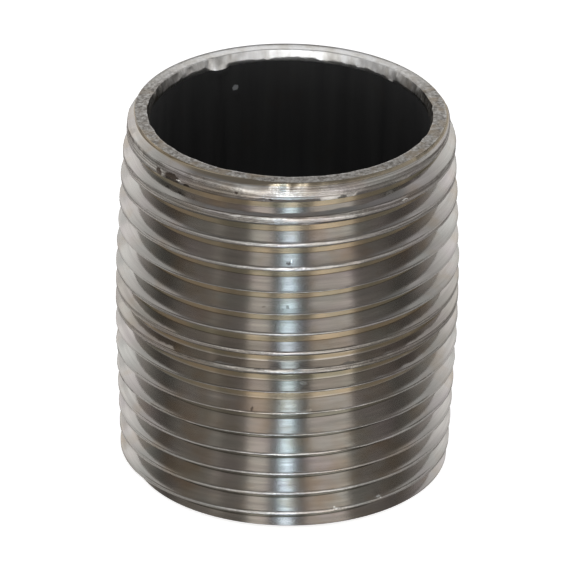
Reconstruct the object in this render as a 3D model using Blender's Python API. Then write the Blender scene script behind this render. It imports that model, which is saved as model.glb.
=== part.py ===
"""Close pipe nipple, 1 inch nominal.

A short length of welded steel pipe with a taper pipe thread cut from each end, so that the two
threads meet in the middle. Metres, +Z along the pipe, origin at the centre of the lower end.
"""

import math

import bmesh
import bpy

# Driving dimensions
MM = 0.001
PIPE_DIAMETER = 33.4 * MM
BORE_DIAMETER = 27.2 * MM
LENGTH = 37.4 * MM

# Thread: 11.5 turns to the inch, 60 degree flanks, a taper of 1 in 16 on the diameter
THREADS_PER_INCH = 11.5
PITCH = 25.4 * MM / THREADS_PER_INCH
FLANK_SLOPE = math.tan(math.radians(30))
CONE_SLOPE = 1 / 32
PITCH_RADIUS_AT_END = 15.413 * MM
ROOT_DEPTH = 0.4 * PITCH
ROOT_FLAT = 0.066 * PITCH

# Crests: cleaned to a slightly steeper cone than the pitch line, and never above the pipe's own surface
CREST_RADIUS_AT_END = 16.02 * MM
CREST_SLOPE = 0.045

# Ends: an outer chamfer over the first turn, and a shallow reamed band in the mouth of the bore
RIM_RADIUS = 14.95 * MM
CHAMFER_LENGTH = 1.9 * MM
MOUTH_RADIUS = 13.85 * MM
MOUTH_DEPTH = 0.85 * MM

# Where each thread begins and how it runs out past the middle
LOWER_START_ANGLE = math.radians(194)
UPPER_START_ANGLE = math.radians(231)
FULL_THREAD_PAST_MIDDLE = 1.1 * MM
RUN_OUT_LENGTH = 2.2 * MM

# Weld bead along the bore of the pipe
BEAD_ANGLE = math.radians(121)
BEAD_HALF_WIDTH = math.radians(4)
BEAD_HEIGHT = 0.35 * MM
BEAD_SECTION = (-1, -0.5, 0, 0.5, 1)

# Facets
STEPS_PER_TURN = 60
OVERCUT = 0.12 * MM
PAST_END = 1.0 * MM
SMOOTH_BELOW = math.radians(25)


def clear_scene():
    for thing in list(bpy.data.objects):
        bpy.data.objects.remove(thing)


def crest_radius(from_end):
    """Radius of the blank before threading, at a distance from the nearer end."""
    if from_end < CHAMFER_LENGTH:
        at_chamfer = CREST_RADIUS_AT_END + CREST_SLOPE * CHAMFER_LENGTH
        share = max(from_end, 0) / CHAMFER_LENGTH
        return RIM_RADIUS + (at_chamfer - RIM_RADIUS) * share
    return min(PIPE_DIAMETER / 2, CREST_RADIUS_AT_END + CREST_SLOPE * from_end)


def bead_rise(angle):
    """How far the weld bead stands in from the bore at an angle, as a rounded hump."""
    away = abs(math.remainder(angle - BEAD_ANGLE, math.tau)) / BEAD_HALF_WIDTH
    return BEAD_HEIGHT * math.cos(away * math.pi / 2) if away < 1 else 0.0


def ring_point(radius, angle, height):
    return (radius * math.cos(angle), radius * math.sin(angle), height)


def facet_angles():
    return [math.tau * step / STEPS_PER_TURN for step in range(STEPS_PER_TURN)]


def bridge_rows(mesh, rows):
    """Quads between successive closed rows of vertices, with both end rows filled."""
    for below, above in zip(rows, rows[1:]):
        for i in range(len(below)):
            j = (i + 1) % len(below)
            mesh.faces.new((below[i], below[j], above[j], above[i]))
    mesh.faces.new(tuple(reversed(rows[0])))
    mesh.faces.new(tuple(rows[-1]))


def object_from(mesh, name):
    bmesh.ops.recalc_face_normals(mesh, faces=mesh.faces[:])
    data = bpy.data.meshes.new(name)
    mesh.to_mesh(data)
    mesh.free()
    data.shade_smooth()
    data.set_sharp_from_angle(angle=SMOOTH_BELOW)
    made = bpy.data.objects.new(name, data)
    bpy.context.scene.collection.objects.link(made)
    return made


def as_cutter(made):
    made.hide_render = True
    made.display_type = "WIRE"
    return made


def turned_blank():
    """The solid bar that the thread and the bore are cut from."""
    full_at = (PIPE_DIAMETER / 2 - CREST_RADIUS_AT_END) / CREST_SLOPE
    from_end = (0.0, CHAMFER_LENGTH, full_at)
    heights = list(from_end) + [LENGTH - x for x in reversed(from_end)]
    mesh = bmesh.new()
    rows = []
    for height in heights:
        radius = crest_radius(min(height, LENGTH - height))
        rows.append([mesh.verts.new(ring_point(radius, a, height)) for a in facet_angles()])
    bridge_rows(mesh, rows)
    return object_from(mesh, "nipple_body")


def bore_cutter():
    """The hole through the pipe, with the weld bead left standing and a reamed mouth at each end."""
    mouth = ((-PAST_END, MOUTH_RADIUS), (0.0, MOUTH_RADIUS), (MOUTH_DEPTH, BORE_DIAMETER / 2))
    profile = list(mouth) + [(LENGTH - z, radius) for z, radius in reversed(mouth)]
    bead_angles = [BEAD_ANGLE + BEAD_HALF_WIDTH * share for share in BEAD_SECTION]
    angles = sorted(facet_angles() + bead_angles)
    mesh = bmesh.new()
    rows = []
    for height, radius in profile:
        bead_share = 1 if MOUTH_DEPTH <= height <= LENGTH - MOUTH_DEPTH else 0
        ring = [ring_point(radius - bead_rise(a) * bead_share, a, height) for a in angles]
        rows.append([mesh.verts.new(point) for point in ring])
    bridge_rows(mesh, rows)
    return as_cutter(object_from(mesh, "bore_cutter"))


def groove_section(from_end, full_until):
    """Outer radius, root radius and half widths of the thread groove at a distance from its end."""
    outer = crest_radius(min(max(from_end, 0.0), LENGTH - from_end)) + OVERCUT
    pitch_radius = PITCH_RADIUS_AT_END + CONE_SLOPE * from_end
    run_out = max(0.0, from_end - full_until) / RUN_OUT_LENGTH
    root = pitch_radius - ROOT_DEPTH + run_out * (2 * ROOT_DEPTH + OVERCUT)
    half_root = ROOT_FLAT / 2
    half_outer = half_root + (outer - root) * FLANK_SLOPE
    return outer, root, half_outer, half_root


def groove_cutter(name, start_angle):
    """A tapering helical groove that climbs from below the lower end, past the middle, to nothing."""
    full_until = LENGTH / 2 + FULL_THREAD_PAST_MIDDLE
    mesh = bmesh.new()
    rows = []
    step_angle = math.tau / STEPS_PER_TURN
    step = math.ceil((start_angle - math.tau) / step_angle)
    while True:
        angle = step * step_angle
        height = PITCH * (angle - start_angle) / math.tau
        outer, root, half_outer, half_root = groove_section(height, full_until)
        if outer - root < OVERCUT / 2:
            break
        corners = (
            (outer, height - half_outer),
            (root, height - half_root),
            (root, height + half_root),
            (outer, height + half_outer),
        )
        rows.append([mesh.verts.new(ring_point(radius, angle, z)) for radius, z in corners])
        step += 1
    bridge_rows(mesh, rows)
    return as_cutter(object_from(mesh, name))


def turned_over(cutter):
    """Turns a cutter end for end, which keeps the thread right-handed."""
    for vertex in cutter.data.vertices:
        x, y, z = vertex.co
        vertex.co = (x, -y, LENGTH - z)
    cutter.data.update()
    return cutter


def cut(body, cutter):
    difference = body.modifiers.new(cutter.name, "BOOLEAN")
    difference.operation = "DIFFERENCE"
    difference.solver = "EXACT"
    difference.object = cutter


def cut_steel():
    steel = bpy.data.materials.new("cut_steel")
    steel.use_nodes = True
    shader = steel.node_tree.nodes["Principled BSDF"]
    shader.inputs["Base Color"].default_value = (0.36, 0.34, 0.32, 1.0)
    shader.inputs["Metallic"].default_value = 1.0
    shader.inputs["Roughness"].default_value = 0.32
    return steel


def build():
    clear_scene()
    body = turned_blank()
    cut(body, groove_cutter("lower_thread_cutter", LOWER_START_ANGLE))
    cut(body, turned_over(groove_cutter("upper_thread_cutter", UPPER_START_ANGLE)))
    cut(body, bore_cutter())
    body.data.materials.append(cut_steel())


build()
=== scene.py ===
import math
from collections import namedtuple

import bmesh
import bpy
import numpy as np
from mathutils import Matrix, Vector


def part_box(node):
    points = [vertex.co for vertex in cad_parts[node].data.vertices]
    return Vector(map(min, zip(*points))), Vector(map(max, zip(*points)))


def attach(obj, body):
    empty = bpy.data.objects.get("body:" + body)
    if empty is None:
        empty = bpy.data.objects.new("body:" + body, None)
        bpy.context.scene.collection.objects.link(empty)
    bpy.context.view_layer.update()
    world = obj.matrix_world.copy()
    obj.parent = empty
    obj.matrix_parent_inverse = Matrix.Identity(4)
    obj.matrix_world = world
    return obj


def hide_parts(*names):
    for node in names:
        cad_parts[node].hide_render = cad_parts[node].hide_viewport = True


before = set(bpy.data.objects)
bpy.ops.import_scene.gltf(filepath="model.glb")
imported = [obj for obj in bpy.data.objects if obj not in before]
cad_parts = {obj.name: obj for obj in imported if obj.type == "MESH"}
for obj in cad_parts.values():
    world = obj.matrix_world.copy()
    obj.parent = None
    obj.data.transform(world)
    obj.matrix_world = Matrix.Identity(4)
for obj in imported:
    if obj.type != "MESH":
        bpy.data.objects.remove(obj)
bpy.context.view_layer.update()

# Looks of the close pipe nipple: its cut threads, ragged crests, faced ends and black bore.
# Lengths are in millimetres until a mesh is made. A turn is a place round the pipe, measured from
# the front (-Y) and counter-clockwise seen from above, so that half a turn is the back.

MM = 0.001
BODY_LOW, BODY_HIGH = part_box("nipple_body")
LENGTH = (BODY_HIGH.z - BODY_LOW.z) / MM
PIPE_RADIUS = (BODY_HIGH.x - BODY_LOW.x) / 2 / MM

# Thread: one groove each turn at the standard pitch, and how far each turn strays from its place.
# Turn 0 meets the front one pitch below the middle. The roots rise past FULL_UNTIL, as a thread
# runs out from its own end, and their flats are widest where the two threads meet.
THREADS_PER_INCH = 11.5
PITCH = 25.4 / THREADS_PER_INCH
MIDDLE_ROOT_HEIGHT = 16.50
STRAY_TURNS = range(-3, 10)
STRAY = (-0.20, -0.16, 0.05, 0.02, 0.08, -0.12, -0.20, -0.22, -0.12, 0.20, 0.44, 0.78, 1.37)
FLANK_SLOPE = math.tan(math.radians(30))
ROOT_RADIUS_AT_END = 14.53
CONE_SLOPE = 1 / 32
LOWER_ROOTS_DEEPER = 0.07
FULL_UNTIL = 12.6
RUN_OUT_LENGTH = 12.0
RUN_OUT_RISE = 1.6
LEAST_DEPTH = 0.1
ROOT_LEAN = math.tan(math.radians(3))
ROOT_FLAT_HEIGHTS = (0, 10.5, 14, 20, 23, 28, 33, 37)
ROOT_FLATS = (0.10, 0.12, 0.52, 0.54, 0.40, 0.40, 0.48, 0.48)

# Crests are sharper in the upper half and worn rounder in the lower half
SHARP_ROUNDING = 0.03
WORN_ROUNDING = 0.04
WORN_BELOW = 22
WORN_OVER = 6

# Outside of the blank that the threads are cut from, with a bevel at its lower edge
CREST_RADIUS_AT_END = 16.02
CREST_SLOPE = 0.045
LOWER_EDGE_HEIGHTS = (0.0, 0.6)
LOWER_EDGE_RADII = (14.86, 16.05)

# The upper thread's first turns, from the end: the die took their lands down in steps and cut the
# grooves less deep. Turns are counted along the helix, heights from the end.
LAND_TURNS = (6.0, 7.0, 7.4, 8.0, 8.6, 9.2)
LAND_RADII = (16.26, 16.09, 16.09, 15.62, 15.34, 15.12)
SHALLOW_FROM_TOP = (2.45, 5.0, 7.4, 9.9)
SHALLOW = (0.44, 0.245, 0.13, 0.0)
UPPER_EDGE_FROM_TOP = (0.0, 0.31, 1.4, 3.2, 4.5)
UPPER_EDGE_RADII = (15.12, 15.60, 15.85, 16.22, 16.7)

# Ends and bore: a slightly coned face, a reamed mouth, and the weld bead of the pipe's seam
FACE_DROP = 0.075
MOUTH_RADIUS = 13.85
MOUTH_DEPTH = 0.85
BORE_RADIUS = 13.6
BEAD_TURN = 0.5 + 31 / 360
BEAD_HALF_WIDTH = 0.95
BEAD_HEIGHT = 0.35

# Lump of weld that hangs at the upper mouth: it thickens with depth, then breaks off short
LUMP_SLOPE = 0.42
LUMP_BREAK_SLOPE = 1.2
LUMP_BREAK_DEPTH = 2.05

# Drop of metal on the wall of the bore, and its depth below the upper end
DROP_TURN = 0.565
DROP_DEPTH = 4.3
DROP_HALF_WIDTH = 0.5
DROP_HALF_HEIGHT = 0.4
DROP_HEIGHT = 0.22

# Mesh rows across one thread: shares of half the root's flat, of a flank, and of the crest's flat.
# Each flat and flank has rows close beside its corners, which keep its shading even. Where a
# flank meets the crest is found in a few tries, and neither of them shrinks to nothing.
COLUMNS = 288
SHARES_OF_FLAT = (0.0, 0.95, 0.988)
SHARES_OF_LOW_FLANK = (0.006, 0.03, 0.92, 0.965)
SHARES_OF_CREST = (0.0, 0.36, 1.0)
SHARES_OF_HIGH_FLANK = (0.965, 0.92, 0.03, 0.006)
LEAST_FLANK = 0.02
LEAST_HALF_CREST = 0.03
EDGE_TRIES = 8

# Turns are meshed past both ends. Rows beyond an end are gathered within FOLD of it, and points that
# then coincide are welded.
FIRST_TURN, LAST_TURN = -9, 11
FOLD = 0.35
WELD_DISTANCE = 0.0004

# Mesh rows of the ends: shares of the way in over the face, shares of the way down the mouth, and
# depths in the bore. The bore's own rows lie between those of its two ends.
SHARES_OF_FACE = (0.012, 0.1, 0.3, 0.48, 0.66, 0.84, 0.985)
SHARES_OF_MOUTH = (0.0, 0.04, 0.2, 0.45, 0.7, 0.9, 1.0)
MOUTH_STARTS_AT = 0.03
FACE_EDGE_DROP = 0.012
BORE_DEPTHS = (1.1, 1.4, 1.7, 2.0, 2.4, 3.2, 4.0, 4.3, 4.6, 6.0)
REAMED_UNTIL = 1.3
BORE_ROWS = 12
BORE_ROWS_FROM_END = 8

# Wear: how far the crests wave and tear and the whole thread ripples. It dies away near the ends,
# and the tearing also towards the lower end and below each crest.
SEED = 7
CREST_WAVE = 0.006
FINE_TEAR, COARSE_TEAR = 0.011, 0.018
SHORT_RIPPLE, LONG_RIPPLE = 0.003, 0.004
TORN_BELOW_CREST = 0.04
CALM_NEAR_ENDS = 0.3
LESS_TORN_BELOW = 3.0
TEAR_STEP = 7

# Which ripple each mesh row follows, so that rows close together move together: the root's (0), the
# crest's lower corner's (1), middle's (2) and upper corner's (3), and the next turn's root's (4)
RIPPLES = 4
RIPPLE_OF_ROWS = (0, 0, 0, 0, 0, 1, 1, 1, 2, 3, 3, 3, 4, 4, 4, 4)

# Chatter of the tools on the ends, ribs and grain in the bore
FACE_CHATTER = 0.018
MOUTH_EDGE_SCALLOP = 0.03
MOUTH_FOOT_SCALLOP = 0.10
MOUTH_FOOT_CHATTER = 0.05
MOUTH_CHATTER = 0.022
BORE_RIBS = 0.02
BORE_GRAIN = 0.010
BORE_END_GRAIN = 0.012


def smooth_step(value):
    share = np.clip(value, 0, 1)
    return share * share * (3 - 2 * share)


def smooth_least(a, b, rounding):
    """The lesser of two radii, with the corner between them rounded."""
    share = np.clip(0.5 + 0.5 * (b - a) / rounding, 0, 1)
    return b + (a - b) * share - rounding * share * (1 - share)


def nearness(distance, reach):
    """1 at no distance, falling smoothly to 0 at reach."""
    return smooth_step(1 - np.abs(distance) / reach)


def from_turn(turn, other):
    """Shortest way from one turn to another, in turns."""
    return (turn - other + 0.5) % 1 - 0.5


def places_round():
    """The mesh's columns as turns, from the back round to the back again."""
    return np.arange(COLUMNS + 1) / COLUMNS - 0.5


# ---- The thread ----

def root_height(turn):
    """Height of the groove's centre line along its helix."""
    return MIDDLE_ROOT_HEIGHT + PITCH * turn + np.interp(turn, STRAY_TURNS, STRAY)


def blank_radius(z, turn):
    """Outside radius before threading: cones towards both ends, and stepped lands at the upper end."""
    cone = CREST_RADIUS_AT_END + CREST_SLOPE * np.minimum(z, LENGTH - z)
    blank = np.minimum(cone, PIPE_RADIUS)
    blank = np.minimum(blank, np.interp(z, LOWER_EDGE_HEIGHTS, LOWER_EDGE_RADII, right=PIPE_RADIUS))
    blank = np.minimum(blank, np.interp(LENGTH - z, UPPER_EDGE_FROM_TOP, UPPER_EDGE_RADII))
    land = np.interp(turn, LAND_TURNS, LAND_RADII, left=PIPE_RADIUS)
    return np.minimum(blank, land)


def root_radius(from_end):
    """Radius of a groove's root at a distance from its own end."""
    run_out = np.maximum(0, from_end - FULL_UNTIL) / RUN_OUT_LENGTH
    return ROOT_RADIUS_AT_END + CONE_SLOPE * from_end + RUN_OUT_RISE * run_out


def deeper_root(z):
    """Root radius of whichever end's thread is the deeper at a height."""
    from_top = LENGTH - z
    upper = root_radius(from_top) + np.interp(from_top, SHALLOW_FROM_TOP, SHALLOW)
    return np.minimum(root_radius(z) - LOWER_ROOTS_DEEPER, upper)


def half_root_flat(z):
    """Half the width of a groove's flat bottom: wide in the middle, where the two threads meet."""
    return np.interp(z, ROOT_FLAT_HEIGHTS, ROOT_FLATS) / 2


def groove_surface(z, centre, root):
    """Radius of a V groove at a height. Its flat bottom leans in a little towards the top."""
    half = half_root_flat(centre)
    lean = ROOT_LEAN * np.clip(centre - z, -half, half)
    return root + lean + np.maximum(0, np.abs(z - centre) - half) / FLANK_SLOPE


# ---- Random wear, along the helix so that it has no seam ----

class Wear:
    def __init__(self, seed):
        self.random = np.random.default_rng(seed)
        self.length = (LAST_TURN - FIRST_TURN + 3) * COLUMNS

    def along(self, smoothing, rows=None):
        """Noise of about unit size along the helix, smoothed over some columns."""
        shape = (self.length,) if rows is None else (rows, self.length)
        values = self.random.standard_normal(shape)
        return self.smooth(values, smoothing)

    def round(self, smoothing):
        """Noise of about unit size round one ring, which meets itself."""
        values = self.random.standard_normal(COLUMNS)
        values = self.smooth(np.concatenate([values] * 3), smoothing)[COLUMNS:2 * COLUMNS]
        return np.append(values, values[0])

    @staticmethod
    def smooth(values, smoothing):
        """Smoothed by a window that keeps the noise at unit size."""
        if smoothing < 2:
            return values
        window = np.hanning(smoothing + 2)[1:-1]
        window /= math.sqrt((window ** 2).sum())
        return np.apply_along_axis(np.convolve, -1, values, window, "same")


def helix_index(whole_turn, column):
    """Place along the helix in columns; the seam at the back joins one turn to the next."""
    return (whole_turn - FIRST_TURN + 1) * COLUMNS + column


# ---- The threaded outside ----

# Marks of use and of a blunt die: place round and height, half its width and height, how deep
# (a burr stands out, so its depth is negative), and how dark it is stained, or, when negative, how
# strongly it is painted near-white as a highlight (a glint on a burr or beside a pit)
Mark = namedtuple("Mark", "turn height wide tall deep stain")
MARKS = (
    Mark(-0.052, 36.02, 0.22, 0.13, 0.06, 0.9),
    Mark(-0.018, 35.74, 0.30, 0.10, 0.06, 0.9),
    Mark(-0.026, 35.80, 0.42, 0.07, 0.04, 0.8),
    Mark(-0.127, 35.60, 1.25, 0.56, 0.10, 0.95),
    Mark(-0.146, 35.50, 0.50, 0.48, 0.08, 0.95),
    Mark(-0.108, 35.40, 0.45, 0.20, 0.06, 0.95),
    Mark(-0.118, 35.60, 0.42, 0.07, -0.10, -1.0),
    Mark(-0.236, 35.30, 0.45, 0.35, 0.08, 0.7),
    Mark(0.001, 29.15, 0.30, 0.12, 0.06, 0.85),
    # Painted highlight beside the pit above it: colour only, with no shape of its own
    Mark(0.004, 29.30, 0.12, 0.05, 0.0, -0.8),
    Mark(-0.022, 24.32, 0.22, 0.08, 0.05, 0.45),
    Mark(0.001, 24.36, 0.22, 0.09, 0.06, 0.50),
    Mark(-0.031, 13.35, 0.16, 0.12, 0.06, 0.65),
    Mark(0.052, 2.25, 0.36, 0.10, -0.07, -0.8),
    Mark(0.098, 2.40, 0.34, 0.10, -0.07, -0.8),
    Mark(0.018, 17.00, 0.45, 0.12, -0.10, -0.8),
    Mark(0.023, 15.40, 0.50, 0.12, -0.10, -0.8),
    Mark(0.114, 35.70, 0.60, 0.10, -0.12, -0.8),
    Mark(0.122, 34.05, 0.45, 0.10, -0.10, -0.8),
)

# A bright scrape on the bore's wall, just above the drop of metal
BORE_SPECKS = (Mark(-0.435, 33.80, 0.42, 0.34, 0.0, 0.9),)

# Stretches of crest that the die tore: where they start and end, their height and half height, and
# how badly they are torn. They fade in and out over part of a turn.
TEAR_FADE = 1 / 60
Tear = namedtuple("Tear", "start end height tall strength")
TEARS = (
    Tear(-0.07, 0.09, 33.55, 0.7, 2.2),
    Tear(-0.06, -0.005, 19.60, 0.5, 3.5),
    Tear(-0.065, 0.005, 24.00, 0.5, 2.5),
    Tear(0.04, 0.11, 35.45, 0.5, 2.0),
    Tear(-0.13, -0.05, 18.0, 0.6, 2.0),
    Tear(0.02, 0.16, 17.6, 0.7, 2.0),
)


def worn(around, z):
    """Radius lost to the marks, and how torn the crests are."""
    lost = np.zeros_like(z)
    torn = np.ones_like(z)
    for mark in MARKS:
        away = from_turn(around, mark.turn) * math.tau * PIPE_RADIUS
        share = nearness(away, mark.wide) * nearness(z - mark.height, mark.tall)
        lost += mark.deep * share
    for tear in TEARS:
        begun = smooth_step((around - tear.start) / TEAR_FADE)
        inside = begun * smooth_step((tear.end - around) / TEAR_FADE)
        torn += tear.strength * inside * nearness(z - tear.height, tear.tall)
    return lost, torn


def groove_edge(centre, side, turn):
    """Height where a groove's flank meets the blank, above (+1) or below (-1) its centre line."""
    edge = centre
    for _ in range(EDGE_TRIES):
        inside = np.clip(edge, 0, LENGTH)
        depth = np.maximum(LEAST_FLANK, blank_radius(inside, turn) - deeper_root(centre))
        found = centre + side * (half_root_flat(centre) + depth * FLANK_SLOPE)
        edge = (edge + found) / 2
    return found


def folded(distance):
    """Distance from an end, with the rows that lie beyond it gathered smoothly inside it."""
    near = np.clip(distance + FOLD, 0, 2 * FOLD) ** 2 / (4 * FOLD)
    return np.where(distance > FOLD, distance, near)


def row_heights(whole, around):
    """Heights of one turn's mesh rows: up the flank under a crest, over the crest and down behind it."""
    turn = whole + around
    low, high = root_height(turn), root_height(turn + 1)
    low_flat, high_flat = half_root_flat(low), half_root_flat(high)
    low_edge, high_edge = groove_edge(low, 1, turn), groove_edge(high, -1, turn)
    middle = (low_edge + high_edge) / 2
    low_edge = np.minimum(low_edge, middle - LEAST_HALF_CREST)
    high_edge = np.maximum(high_edge, middle + LEAST_HALF_CREST)
    low_flank, high_flank = low_edge - low - low_flat, high - high_flat - high_edge
    rows = [low + low_flat * share for share in SHARES_OF_FLAT]
    rows += [low + low_flat + low_flank * share for share in SHARES_OF_LOW_FLANK]
    rows += [low_edge + (high_edge - low_edge) * share for share in SHARES_OF_CREST]
    rows += [high - high_flat - high_flank * share for share in SHARES_OF_HIGH_FLANK]
    rows += [high - high_flat * share for share in SHARES_OF_FLAT[:0:-1]]
    return [LENGTH - folded(LENGTH - folded(row)) for row in rows]


def grooves_at(z, whole, around):
    """Radius left by the groove's turns next to a height."""
    radius = np.full_like(z, PIPE_RADIUS + 1)
    for k in (whole - 1, whole, whole + 1, whole + 2):
        centre = root_height(k + around)
        radius = np.minimum(radius, groove_surface(z, centre, deeper_root(centre)))
    return radius


def crest_rounding(z):
    """How round a crest's corners are at a height."""
    worn_share = smooth_step((WORN_BELOW - z) / WORN_OVER)
    return SHARP_ROUNDING + (WORN_ROUNDING - SHARP_ROUNDING) * worn_share


def thread_surface(wear):
    """Grids of place round, height, radius, and how far down the groove each point is (0 to 1)."""
    column = np.arange(COLUMNS + 1)
    around = places_round()
    fine, coarse, slow = wear.along(2), wear.along(5), wear.along(70)
    ripple = SHORT_RIPPLE * wear.along(9, RIPPLES) + LONG_RIPPLE * wear.along(200, RIPPLES)
    grids = []
    for whole in range(FIRST_TURN, LAST_TURN):
        index = helix_index(whole, column)
        for number, z in enumerate(row_heights(whole, around)):
            steady = smooth_step(np.minimum(z, LENGTH - z) / CALM_NEAR_ENDS)
            blank = blank_radius(z, whole + around) + CREST_WAVE * slow[index] * steady
            groove = grooves_at(z, whole, around)
            radius = smooth_least(blank, groove, crest_rounding(z))
            at_crest = nearness(blank - radius, TORN_BELOW_CREST)
            tear_index = index + TEAR_STEP * number
            torn = FINE_TEAR * fine[tear_index]
            torn += COARSE_TEAR * coarse[tear_index] * smooth_step(slow[index])
            lost, tear = worn(around, z)
            radius = radius + at_crest * torn * tear * steady * smooth_step(z / LESS_TORN_BELOW) - lost
            turns_on, zone = divmod(RIPPLE_OF_ROWS[number], RIPPLES)
            radius = radius + steady * ripple[zone][index + turns_on * COLUMNS]
            depth = np.clip((blank - groove) / np.maximum(blank - deeper_root(z), LEAST_DEPTH), 0, 1)
            grids.append((around, z, np.minimum(radius, PIPE_RADIUS), depth))
    return [np.array(grid) for grid in zip(*grids)]


# ---- Ends and bore ----

THREAD, FACED, SCALE = 0, 1, 2


def along_bore(around, turn):
    """Distance along the bore's wall from a turn to each place."""
    return from_turn(around, turn) * math.tau * BORE_RADIUS


def lump(profile, down):
    """How far the lump of weld hangs in at a depth."""
    thickness = np.minimum(LUMP_SLOPE * down, LUMP_BREAK_SLOPE * (LUMP_BREAK_DEPTH - down))
    return profile * np.clip(thickness, 0, 1)


def end_rows(wear, outer, top):
    """Rows of depth, radius and material from an end's edge over its face, down the mouth and in."""
    around = places_round()
    bead_away = along_bore(around, BEAD_TURN)
    lump_profile = np.sqrt(np.clip(1 - (bead_away / BEAD_HALF_WIDTH) ** 2, 0, 1)) * top
    scallop = wear.round(4)
    ream = wear.round(1)
    inner = MOUTH_RADIUS + MOUTH_EDGE_SCALLOP * scallop
    rows = []
    for share in SHARES_OF_FACE:
        chatter = FACE_CHATTER * wear.round(2) * math.sin(math.pi * share)
        down = FACE_DROP * (1 - share) + np.abs(chatter) + FACE_EDGE_DROP * (share == SHARES_OF_FACE[-1])
        rows.append((down, outer + (inner - outer) * share, FACED))
    for share in SHARES_OF_MOUTH:
        foot = share * (MOUTH_FOOT_SCALLOP * scallop + MOUTH_FOOT_CHATTER * ream)
        down = MOUTH_STARTS_AT + (MOUTH_DEPTH - MOUTH_STARTS_AT) * share + foot
        chatter = MOUTH_CHATTER * ream * math.sin(math.pi * share)
        radius = inner + (BORE_RADIUS - inner) * share + chatter
        rows.append((down, radius - lump(lump_profile, down), FACED))
    bead = BEAD_HEIGHT * nearness(bead_away, BEAD_HALF_WIDTH)
    drop_profile = DROP_HEIGHT * nearness(along_bore(around, DROP_TURN), DROP_HALF_WIDTH) * top
    for down in BORE_DEPTHS:
        drop = drop_profile * nearness(down - DROP_DEPTH, DROP_HALF_HEIGHT)
        kind = FACED if down < REAMED_UNTIL else SCALE
        inward = np.maximum(bead, lump(lump_profile, down)) + drop
        radius = BORE_RADIUS - inward + BORE_END_GRAIN * wear.round(3)
        rows.append((np.full(COLUMNS + 1, down), radius, kind))
    return rows


def bore_rows(wear):
    """Rows of height, radius and material through the middle of the bore, from below."""
    bead = BEAD_HEIGHT * nearness(along_bore(places_round(), BEAD_TURN), BEAD_HALF_WIDTH)
    ribs = BORE_RIBS * wear.round(6)
    for z in np.linspace(BORE_ROWS_FROM_END, LENGTH - BORE_ROWS_FROM_END, BORE_ROWS):
        yield np.full(COLUMNS + 1, z), BORE_RADIUS - bead + ribs + BORE_GRAIN * wear.round(3), SCALE


def point_rows(turn, height, radius):
    angle = turn * math.tau
    return np.stack([radius * np.sin(angle), -radius * np.cos(angle), height], -1)


def nipple_mesh():
    """Points, quads and their material numbers, and each point's depth in a groove (0 to 1)."""
    wear = Wear(SEED)
    around, height, radius, depth = thread_surface(wear)
    outside = point_rows(around, height, radius)
    lower = end_rows(wear, radius[0], False)
    bore = list(bore_rows(wear))
    upper = end_rows(wear, radius[-1], True)
    down_rows = [(LENGTH - z, r, kind) for z, r, kind in upper]
    down_rows += bore[::-1]
    down_rows += lower[::-1]
    inside = np.array([point_rows(around[0], z, r) for z, r, _ in down_rows])
    kinds = [THREAD] * len(outside) + [kind for _, _, kind in down_rows]

    points = np.concatenate([outside.reshape(-1, 3), inside.reshape(-1, 3)]) * MM
    total = len(kinds)
    depths = np.concatenate([depth.ravel(), np.zeros(len(down_rows) * (COLUMNS + 1))])
    here = np.arange(total)[:, None] * (COLUMNS + 1) + np.arange(COLUMNS)
    above = np.roll(here, -1, 0)
    quads = np.stack([here, here + 1, above + 1, above], -1).reshape(-1, 4)
    slots = [max(kinds[i], kinds[(i + 1) % total]) for i in range(total)]
    return points, quads, np.repeat(slots, COLUMNS), depths


def weld(points, quads, slots, depths):
    """A mesh with the points that coincide joined, and no faces left between them."""
    mesh = bmesh.new()
    groove_depth = mesh.verts.layers.float.new("groove_depth")
    corners = [mesh.verts.new(point) for point in points]
    for corner, depth in zip(corners, depths):
        corner[groove_depth] = depth
    for quad, slot in zip(quads, slots):
        mesh.faces.new([corners[i] for i in quad]).material_index = int(slot)
    bmesh.ops.remove_doubles(mesh, verts=mesh.verts, dist=WELD_DISTANCE * MM)
    return mesh


def link(name, data):
    made = bpy.data.objects.new(name, data)
    bpy.context.scene.collection.objects.link(made)
    return made


def nipple():
    mesh = weld(*nipple_mesh())
    data = bpy.data.meshes.new("nipple")
    mesh.to_mesh(data)
    mesh.free()
    data.shade_smooth()
    return link("nipple", data)


# ---- Materials ----

def grey(value):
    return (value, value, value)


def fill_ramp(node, stops):
    """Gives a colour ramp its stops, each a place from 0 to 1 and a colour."""
    elements = node.color_ramp.elements
    elements[0].position, elements[0].color = stops[0][0], (*stops[0][1], 1)
    elements[1].position, elements[1].color = stops[-1][0], (*stops[-1][1], 1)
    for position, colour in stops[1:-1]:
        elements.new(position).color = (*colour, 1)


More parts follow.
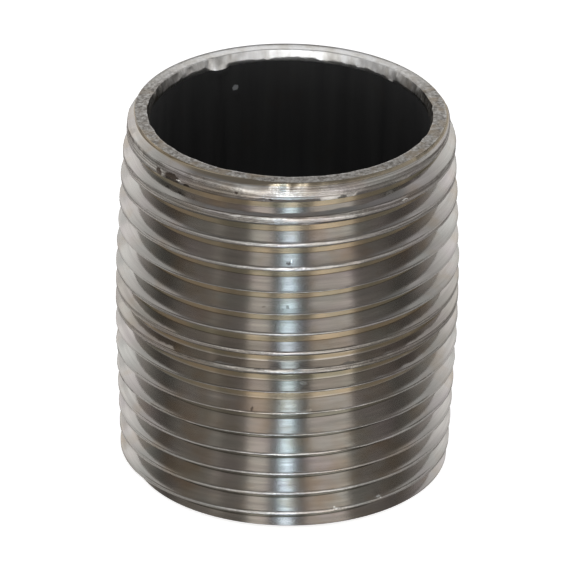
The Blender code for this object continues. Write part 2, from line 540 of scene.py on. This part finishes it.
class Nodes:
    """Short ways to make the nodes of one material."""

    def __init__(self, name):
        self.made = bpy.data.materials.new(name)
        self.made.use_nodes = True
        self.nodes = self.made.node_tree.nodes
        self.links = self.made.node_tree.links
        self.shader = self.nodes["Principled BSDF"]

    def join(self, source, target):
        self.links.new(source, target)

    def object_place(self, scale):
        place = self.nodes.new("ShaderNodeTexCoord")
        stretch = self.nodes.new("ShaderNodeMapping")
        stretch.inputs["Scale"].default_value = scale
        self.join(place.outputs["Object"], stretch.inputs["Vector"])
        return stretch.outputs["Vector"]

    def axes(self):
        """The object's own X, Y and Z, in metres."""
        split = self.nodes.new("ShaderNodeSeparateXYZ")
        self.join(self.object_place((1, 1, 1)), split.inputs["Vector"])
        return split.outputs

    def noise(self, scale, detail=2.0, roughness=0.5, output="Fac"):
        node = self.nodes.new("ShaderNodeTexNoise")
        node.inputs["Scale"].default_value = 1.0
        node.inputs["Detail"].default_value = detail
        node.inputs["Roughness"].default_value = roughness
        self.join(self.object_place(scale), node.inputs["Vector"])
        return node.outputs[output]

    def layer(self, name):
        node = self.nodes.new("ShaderNodeAttribute")
        node.attribute_name = name
        return node.outputs["Fac"]

    def ramp(self, value, stops):
        node = self.nodes.new("ShaderNodeValToRGB")
        fill_ramp(node, stops)
        self.join(value, node.inputs["Fac"])
        return node.outputs["Color"]

    def spread(self, value, low, high, from_low=0.0, from_high=1.0):
        """The value's range from_low to from_high spread over low to high, and held beyond it."""
        node = self.nodes.new("ShaderNodeMapRange")
        node.inputs["From Min"].default_value = from_low
        node.inputs["From Max"].default_value = from_high
        node.inputs["To Min"].default_value = low
        node.inputs["To Max"].default_value = high
        self.join(value, node.inputs["Value"])
        return node.outputs["Result"]

    def mix(self, share, a, b, blend="MIX"):
        """Colour a with its share of colour b mixed in or multiplied on."""
        node = self.nodes.new("ShaderNodeMix")
        node.data_type = "RGBA"
        node.blend_type = blend
        node.clamp_factor = True
        for socket, value in ((node.inputs["Factor"], share), (node.inputs[6], a), (node.inputs[7], b)):
            if isinstance(value, (int, float)):
                socket.default_value = value
            elif isinstance(value, tuple):
                socket.default_value = (*value, 1)
            else:
                self.join(value, socket)
        return node.outputs[2]

    def maths(self, operation, a, b=0.0):
        node = self.nodes.new("ShaderNodeMath")
        node.operation = operation
        for socket, value in zip(node.inputs, (a, b)):
            if isinstance(value, (int, float)):
                socket.default_value = value
            else:
                self.join(value, socket)
        return node.outputs[0]

    def vector(self, operation, a, b=None, scale=None):
        node = self.nodes.new("ShaderNodeVectorMath")
        node.operation = operation
        for socket, value in zip(node.inputs, (a, b)):
            if isinstance(value, tuple):
                socket.default_value = value
            elif value is not None:
                self.join(value, socket)
        if scale is not None:
            node.inputs["Scale"].default_value = scale
        return node.outputs["Value" if operation == "LENGTH" else "Vector"]

    def bump(self, height, distance, strength):
        node = self.nodes.new("ShaderNodeBump")
        node.inputs["Strength"].default_value = strength
        node.inputs["Distance"].default_value = distance
        self.join(height, node.inputs["Height"])
        self.join(node.outputs["Normal"], self.shader.inputs["Normal"])


# Marks have ragged edges, which noise moves by up to this much, and are soft over their outer part
RAGGED = 0.4
RAGGED_SCALE = 2600
MARK_SOLID = 0.75


def unrolled(steel):
    """The outside laid flat: the way round in metres, and the height, both moved a little by noise."""
    x, y, z = steel.axes()
    angle = steel.maths("ARCTAN2", x, steel.maths("MULTIPLY", y, -1.0))
    flat = steel.nodes.new("ShaderNodeCombineXYZ")
    steel.join(steel.maths("MULTIPLY", angle, PIPE_RADIUS * MM), flat.inputs["X"])
    steel.join(z, flat.inputs["Y"])
    ragged = steel.noise((RAGGED_SCALE, RAGGED_SCALE, RAGGED_SCALE), 2, 0.6, "Color")
    return steel.vector("ADD", flat.outputs["Vector"], steel.vector("SCALE", ragged, scale=RAGGED * MM))


def spots(steel, marks):
    """How far inside any of the marks a point is, from 0 to 1, with ragged edges."""
    flat = unrolled(steel)
    middle_of_noise = RAGGED / 2
    found = 0.0
    for mark in marks:
        way_round = mark.turn * math.tau * PIPE_RADIUS
        centre = [(place + middle_of_noise) * MM for place in (way_round, mark.height, 0)]
        stretch = (1 / (mark.wide * MM), 1 / (mark.tall * MM), 0)
        away = steel.vector("MULTIPLY", steel.vector("SUBTRACT", flat, tuple(centre)), stretch)
        inside = steel.spread(steel.vector("LENGTH", away), 1.0, 0.0, MARK_SOLID, 1.0)
        found = steel.maths("MAXIMUM", steel.maths("MULTIPLY", inside, abs(mark.stain)), found)
    return found


# Steel of the thread: what is clean and what lies on it, and painted light: a golden reflection in the
# upper roots, shade in the lower roots and under the rim's lip, and glints on burrs
COOL_STEEL = (0.480, 0.475, 0.450)
PLAIN_STEEL = (0.50, 0.478, 0.452)
WARM_STEEL = (0.515, 0.480, 0.470)
STREAK_TINT = (0.80, 0.80, 0.80)
OIL_BROWN = (0.40, 0.32, 0.235)
# Roots: a painted golden reflection in the upper half and painted shade in the lower half
GOLDEN_ROOT_REFLECTION_DARK = (0.23, 0.21, 0.155)
GOLDEN_ROOT_REFLECTION_LIGHT = (0.34, 0.27, 0.185)
LOWER_ROOT_SHADE = (0.15, 0.143, 0.12)
TOOL_LINE_TINT = (0.42, 0.40, 0.38)
# Painted shade: brown on the upper edge's bevel, under the rim's lip
BROWN_LIP_SHADE = (0.36, 0.30, 0.21)
STAIN = (0.065, 0.048, 0.036)
# Painted highlight: near-white for the glints on burrs and beside a pit
GLINT_WHITE = (0.98, 0.98, 0.96)

# Where on the thread: the share of a groove's depth that is crest or root, and heights
CREST_UNTIL = 0.10
ROOT_FROM, ROOT_TO = 0.93, 0.99
# Heights over which the roots' painted shade turns into their painted golden reflection
GOLDEN_FROM, GOLDEN_TO = 11.0, 15.0
LIP_SHADE_FROM, LIP_SHADE_TO = 37.0, 37.12

# How strongly the lands show their turning lines, by share of the length: most in the middle, where
# the die rubbed, and near the upper end
RUBBED = (
    (0.38, grey(0.12)),
    (0.46, grey(0.90)),
    (0.55, grey(0.90)),
    (0.60, grey(0.15)),
    (0.80, grey(0.15)),
    (0.86, grey(0.90)),
)

# How much the steel is dulled, by share of the length: most in the middle
DULL_MIDDLE = (0.87, 0.85, 0.82)
DULLED = (
    (0.40, grey(1.0)),
    (0.46, DULL_MIDDLE),
    (0.53, DULL_MIDDLE),
    (0.58, grey(0.95)),
    (0.80, grey(0.95)),
    (0.88, grey(1.0)),
)


def thread_colour(steel, streaks, brown_clouds, turned, at_crest):
    """Clean steel, then oil, the roots' painted reflection and painted shade, tool lines, the painted
    shade under the rim's lip, the marks (stains, and painted glints) and the dulling.
    """
    depth = steel.layer("groove_depth")
    height = steel.axes()[2]
    share_up = steel.spread(height, 0.0, 1.0, 0.0, LENGTH * MM)
    clouds = steel.noise((210, 210, 420), 2, 0.5)
    clean = steel.ramp(clouds, ((0.30, COOL_STEEL), (0.50, PLAIN_STEEL), (0.70, WARM_STEEL)))
    clean = steel.mix(steel.spread(streaks, 0.0, 1.0, 0.32, 0.72), clean, STREAK_TINT, "MULTIPLY")
    oily = steel.mix(steel.spread(brown_clouds, 0.0, 0.55, 0.52, 0.70), clean, OIL_BROWN)
    # Painted reflection: the upper roots are coloured golden, for a warm brown surround mirrored in them
    golden_reflection = steel.ramp(brown_clouds, ((0.35, GOLDEN_ROOT_REFLECTION_DARK), (0.6, GOLDEN_ROOT_REFLECTION_LIGHT)))
    upward = steel.spread(height, 0.0, 1.0, GOLDEN_FROM * MM, GOLDEN_TO * MM)
    # The roots' colour: painted shade below, painted golden reflection above, laid into the bottoms of
    # the grooves
    root = steel.mix(upward, LOWER_ROOT_SHADE, golden_reflection)
    colour = steel.mix(steel.spread(depth, 0.0, 1.0, ROOT_FROM, ROOT_TO), oily, root)
    rubbed_lands = steel.maths("MULTIPLY", at_crest, steel.ramp(share_up, RUBBED))
    lines = steel.maths("MULTIPLY", steel.spread(turned, 0.0, 1.0, 0.60, 0.42), rubbed_lands)
    colour = steel.mix(lines, colour, TOOL_LINE_TINT, "MULTIPLY")
    # Painted shade under the rim's lip: the top of the outside is coloured brown
    lip_shade = steel.spread(height, 0.0, 0.8, LIP_SHADE_FROM * MM, LIP_SHADE_TO * MM)
    colour = steel.mix(lip_shade, colour, BROWN_LIP_SHADE)
    colour = steel.mix(spots(steel, [mark for mark in MARKS if mark.stain > 0]), colour, STAIN)
    # Painted highlights: the bright marks are coloured near-white as glints
    colour = steel.mix(spots(steel, [mark for mark in MARKS if mark.stain < 0]), colour, GLINT_WHITE)
    return steel.mix(1.0, colour, steel.ramp(share_up, DULLED), "MULTIPLY")


def thread_steel():
    """Freshly cut steel: streaks from the die, cloudy oil tints, roots painted with a golden reflection
    above and shade below, and scattered marks, the bright ones painted glints.
    """
    steel = Nodes("thread_steel")
    steel.shader.inputs["Metallic"].default_value = 1.0
    depth = steel.layer("groove_depth")
    at_crest = steel.spread(depth, 1.0, 0.0, 0.0, CREST_UNTIL)
    streaks = steel.noise((90, 90, 5200), 3, 0.6)
    brown_clouds = steel.noise((160, 160, 300), 3, 0.6)
    turned = steel.noise((45, 45, 6500), 3, 0.65)
    colour = thread_colour(steel, streaks, brown_clouds, turned, at_crest)
    steel.join(colour, steel.shader.inputs["Base Color"])
    rough = steel.maths("ADD", steel.spread(streaks, 0.08, 0.18), steel.spread(brown_clouds, -0.04, 0.08))
    rough = steel.maths("ADD", rough, steel.spread(at_crest, 0.0, 0.10))
    rough = steel.maths("ADD", rough, steel.spread(depth, 0.0, 0.04, ROOT_FROM, ROOT_TO))
    steel.join(rough, steel.shader.inputs["Roughness"])
    grit = steel.noise((3600, 3600, 3600), 2, 0.6)
    rough_crest = steel.maths("ADD", turned, steel.maths("MULTIPLY", grit, 0.8))
    steel.bump(steel.maths("MULTIPLY", rough_crest, at_crest), 0.05 * MM, 0.6)
    return steel.made


# Steel of the faced ends: its grain, its brown, and a streaked painted highlight (sheen) on the side away
# from the front
GRAIN_DARK = (0.15, 0.135, 0.12)
GRAIN_MIDDLE = (0.33, 0.31, 0.285)
GRAIN_LIGHT = (0.56, 0.55, 0.53)
FACE_BROWN = (0.30, 0.24, 0.17)
SHEEN_DARK = (0.78, 0.76, 0.72)
SHEEN_LIGHT = (0.98, 0.98, 0.98)
SHEEN_SIDE_FROM, SHEEN_SIDE_TO = 5.0, 13.0


def faced_steel():
    """The faced ends and reamed mouths: grainy and a little brown, with a painted highlight (sheen) over
    the back.
    """
    steel = Nodes("faced_steel")
    steel.shader.inputs["Metallic"].default_value = 1.0
    grain = steel.noise((3200, 3200, 900), 3, 0.6)
    clouds = steel.noise((600, 600, 600), 2, 0.5)
    streaks = steel.noise((900, 900, 60), 2, 0.5)
    colour = steel.ramp(grain, ((0.34, GRAIN_DARK), (0.5, GRAIN_MIDDLE), (0.68, GRAIN_LIGHT)))
    colour = steel.mix(steel.spread(clouds, 0.0, 0.7, 0.52, 0.68), colour, FACE_BROWN)
    # Painted highlight: the back of each end is coloured lighter and streaked, for the sheen it shows
    # there
    towards_back = steel.axes()[1]
    sheen_side = steel.spread(towards_back, 0.0, 0.85, SHEEN_SIDE_FROM * MM, SHEEN_SIDE_TO * MM)
    bright = steel.ramp(streaks, ((0.35, SHEEN_DARK), (0.6, SHEEN_LIGHT)))
    colour = steel.mix(sheen_side, colour, bright)
    steel.join(colour, steel.shader.inputs["Base Color"])
    steel.join(steel.spread(grain, 0.42, 0.22), steel.shader.inputs["Roughness"])
    steel.bump(grain, 0.04 * MM, 0.5)
    return steel.made


# The bore's black oxide, its rust, and the bright scrape
SCALE_DARK = (0.014, 0.014, 0.015)
SCALE_LIGHT = (0.028, 0.028, 0.028)
SCALE_RUST = (0.022, 0.015, 0.011)
SCRAPE_GREY = (0.30, 0.31, 0.32)


def black_scale():
    """The bore as it came from the pipe mill: black oxide, drawn lengthwise, with a little rust."""
    scale = Nodes("black_scale")
    drawn = scale.noise((700, 700, 40), 3, 0.6)
    rust = scale.noise((260, 260, 180), 3, 0.6)
    colour = scale.ramp(drawn, ((0.3, SCALE_DARK), (0.7, SCALE_LIGHT)))
    colour = scale.mix(scale.spread(rust, 0.0, 0.5, 0.60, 0.75), colour, SCALE_RUST)
    colour = scale.mix(spots(scale, BORE_SPECKS), colour, SCRAPE_GREY)
    scale.join(colour, scale.shader.inputs["Base Color"])
    scale.join(scale.spread(drawn, 0.6, 0.8), scale.shader.inputs["Roughness"])
    scale.bump(drawn, 0.03 * MM, 0.3)
    return scale.made


# ---- Stage, light and camera ----

def card(name, centre, size, radiance, colour):
    """A lit rectangle facing the nipple. Its power gives the wanted radiance."""
    light = bpy.data.lights.new(name, "AREA")
    light.shape = "RECTANGLE"
    light.size, light.size_y = size
    light.energy = radiance * math.pi * size[0] * size[1]
    light.color = colour
    made = link(name, light)
    made.location = centre
    aim = Vector((0, 0, LENGTH / 2 * MM)) - Vector(centre)
    made.rotation_euler = aim.to_track_quat("-Z", "Y").to_euler()
    return made


CARD_REACH = 0.5


def front_card(name, bearing, width, radiance, colour, rise=-30, tall=28):
    """A card round the nipple, given in degrees: its bearing from the front, how far up it stands, and
    how wide and tall it looks from the nipple."""
    turn, climb = math.radians(bearing), math.radians(rise)
    centre = (
        CARD_REACH * math.cos(climb) * math.sin(turn),
        -CARD_REACH * math.cos(climb) * math.cos(turn),
        CARD_REACH * math.sin(climb),
    )
    size = [2 * CARD_REACH * math.tan(math.radians(angle) / 2) for angle in (width, tall)]
    return card(name, centre, size, radiance, colour)


def lights():
    """A bluish strip ahead with a faint halo, a soft card at each side of it, dim ones round the
    sides and the back, and cards near the horizon that only the lands and the rim mirror."""
    front_card("front_strip", 1.8, 8.0, 5.9, (0.64, 0.84, 1.0), rise=-34, tall=20)
    front_card("front_halo", 0, 26, 0.12, (0.45, 0.70, 1.0))
    front_card("right_card", 33, 28, 1.34, (1.0, 0.985, 0.97))
    front_card("left_card", -19.5, 13.5, 1.34, (1.0, 0.97, 0.94))
    front_card("left_fade", -34, 40, 0.22, (1.0, 0.95, 0.90))
    front_card("left_side", -92, 76, 0.33, (1.0, 0.96, 0.92))
    front_card("left_back", -138, 56, 0.40, (1.0, 0.97, 0.94))
    front_card("right_fade", 68, 48, 0.26, (1.0, 0.98, 0.95))
    front_card("right_back", 128, 70, 0.26, (1.0, 0.98, 0.96))
    front_card("left_high", -136, 50, 0.32, (1.0, 0.98, 0.96), rise=38, tall=36)
    front_card("right_high", 132, 50, 0.26, (1.0, 0.99, 0.98), rise=36, tall=36)
    front_card("high_strip", 0.5, 12.0, 5.4, (0.86, 0.94, 1.0), rise=-4, tall=22)
    front_card("high_right", 26, 20, 1.6, (1.0, 0.985, 0.97), rise=-4, tall=22)
    front_card("rim_card", -13, 40, 1.7, (0.95, 0.98, 1.0), rise=7, tall=14)


# The studio's brightness from straight down (0) through the horizon (0.5) to straight up (1), and its
# strength ahead and behind against that at the two sides
STUDIO = (
    (0.0, (0.24, 0.23, 0.22)),
    (0.385, (0.25, 0.24, 0.23)),
    (0.465, (0.95, 0.93, 0.91)),
    (0.50, (1.12, 1.11, 1.10)),
    (0.70, (0.95, 0.95, 0.95)),
    (0.82, (0.36, 0.36, 0.36)),
    (1.0, (0.27, 0.27, 0.275)),
)
STRENGTH_AHEAD, STRENGTH_ASIDE = 0.95, 0.64


def backdrop():
    """A world that is dim below, bright round the horizon and grey above, and dimmer at the sides."""
    world = bpy.data.worlds.new("backdrop")
    world.use_nodes = True
    nodes, links = world.node_tree.nodes, world.node_tree.links
    background = nodes["Background"]
    place = nodes.new("ShaderNodeTexCoord")
    split = nodes.new("ShaderNodeSeparateXYZ")
    links.new(place.outputs["Generated"], split.inputs["Vector"])
    upward = nodes.new("ShaderNodeMapRange")
    upward.inputs["From Min"].default_value = -1
    links.new(split.outputs["Z"], upward.inputs["Value"])
    ramp = nodes.new("ShaderNodeValToRGB")
    fill_ramp(ramp, STUDIO)
    links.new(upward.outputs["Result"], ramp.inputs["Fac"])
    links.new(ramp.outputs["Color"], background.inputs["Color"])
    sideways = nodes.new("ShaderNodeMath")
    sideways.operation = "MULTIPLY"
    links.new(split.outputs["X"], sideways.inputs[0])
    links.new(split.outputs["X"], sideways.inputs[1])
    strength = nodes.new("ShaderNodeMapRange")
    strength.inputs["To Min"].default_value = STRENGTH_AHEAD
    strength.inputs["To Max"].default_value = STRENGTH_ASIDE
    links.new(sideways.outputs[0], strength.inputs["Value"])
    links.new(strength.outputs["Result"], background.inputs["Strength"])
    bpy.context.scene.world = world


# Floor: a sheet of pale paper just under the nipple, which doesn't show in its reflections
FLOOR_HALF_WIDTH = 1500
FLOOR_GAP = 0.2
PAPER_WHITE = 0.9
PAPER_GLOW = 0.75


def floor():
    mesh = bmesh.new()
    bmesh.ops.create_grid(mesh, x_segments=8, y_segments=8, size=FLOOR_HALF_WIDTH * MM)
    data = bpy.data.meshes.new("floor")
    mesh.to_mesh(data)
    mesh.free()
    made = link("floor", data)
    made.location.z = -FLOOR_GAP * MM
    paper = Nodes("paper")
    paper.shader.inputs["Base Color"].default_value = (*grey(PAPER_WHITE), 1)
    paper.shader.inputs["Roughness"].default_value = 0.9
    paper.shader.inputs["Emission Color"].default_value = (1, 1, 1, 1)
    paper.shader.inputs["Emission Strength"].default_value = PAPER_GLOW
    data.materials.append(paper.made)
    made.visible_glossy = False
    made.visible_shadow = False


# Camera: far off (in metres) with a long lens, a little rolled, and looking down from the front
CAMERA_DISTANCE = 1.0543
CAMERA_ELEVATION = math.radians(27.30)
CAMERA_ROLL = math.radians(1.03)
SENSOR_WIDTH = 36
LENS = 676.1
SHIFT_X, SHIFT_Y = 0.0015, -0.0069


def camera():
    target = Vector((0, 0, LENGTH / 2 * MM))
    away = Vector((0, -math.cos(CAMERA_ELEVATION), math.sin(CAMERA_ELEVATION)))
    data = bpy.data.cameras.new("camera")
    data.sensor_width = SENSOR_WIDTH
    data.lens = LENS
    data.shift_x = SHIFT_X
    data.shift_y = SHIFT_Y
    made = link("camera", data)
    turned = (-away).to_track_quat("-Z", "Y").to_matrix().to_4x4()
    place = Matrix.Translation(target + away * CAMERA_DISTANCE)
    made.matrix_world = place @ turned @ Matrix.Rotation(CAMERA_ROLL, 4, "Z")
    bpy.context.scene.camera = made


body = nipple()
for surface in (thread_steel(), faced_steel(), black_scale()):
    body.data.materials.append(surface)
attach(body, "root")
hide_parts("nipple_body")
floor()
backdrop()
lights()
camera()
bpy.context.scene.view_settings.view_transform = "Standard"
